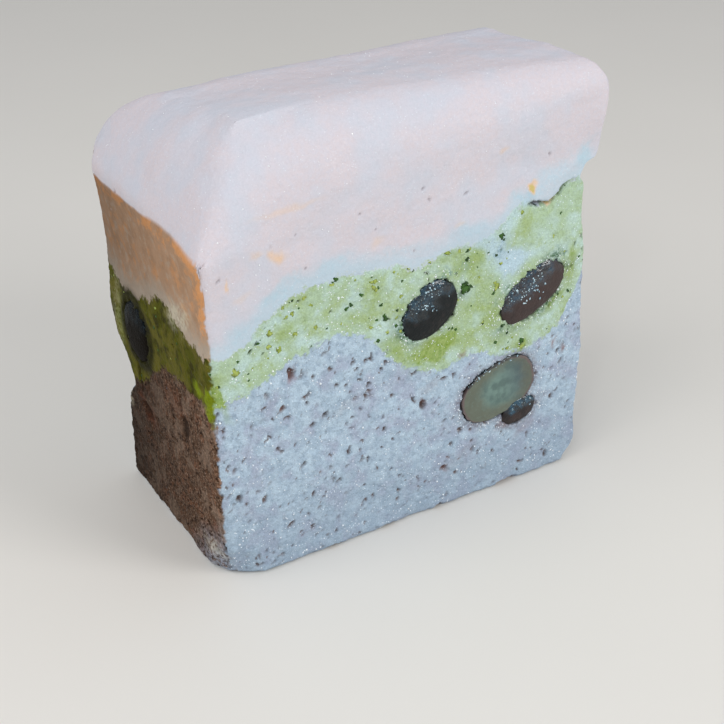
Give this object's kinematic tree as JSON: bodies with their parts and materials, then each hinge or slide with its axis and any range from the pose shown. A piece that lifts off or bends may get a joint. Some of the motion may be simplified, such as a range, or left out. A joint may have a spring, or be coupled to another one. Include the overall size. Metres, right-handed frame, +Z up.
{
  "type": "layered steamed cake slab with black beans",
  "caption": "Thick upright slab of soft steamed cake in pink, green and mauve layers, with sweet black beans set in its cut sides.",
  "frame": {"origin": "middle of the base, on the surface the slab stands on", "axes": "+Z up, -Y out of the long cut face that the picture shows, +X to the right of that face"},
  "size_m": [0.0643, 0.039, 0.0662],
  "materials": {
    "pink_cake": "matte",
    "green_cake": "matte",
    "mauve_cake": "matte",
    "bean_skin": "gloss",
    "bean_flesh": "satin"
  },
  "bodies": {
    "root": {"pink_top_layer": "pink_cake", "green_middle_layer": "green_cake", "mauve_bottom_layer": "mauve_cake", "bean_front_left": "bean_skin", "bean_front_right": "bean_skin", "bean_tip": "bean_skin", "bean_side": "bean_skin", "bean_cut": "bean_flesh"}
  },
  "joints": []
}
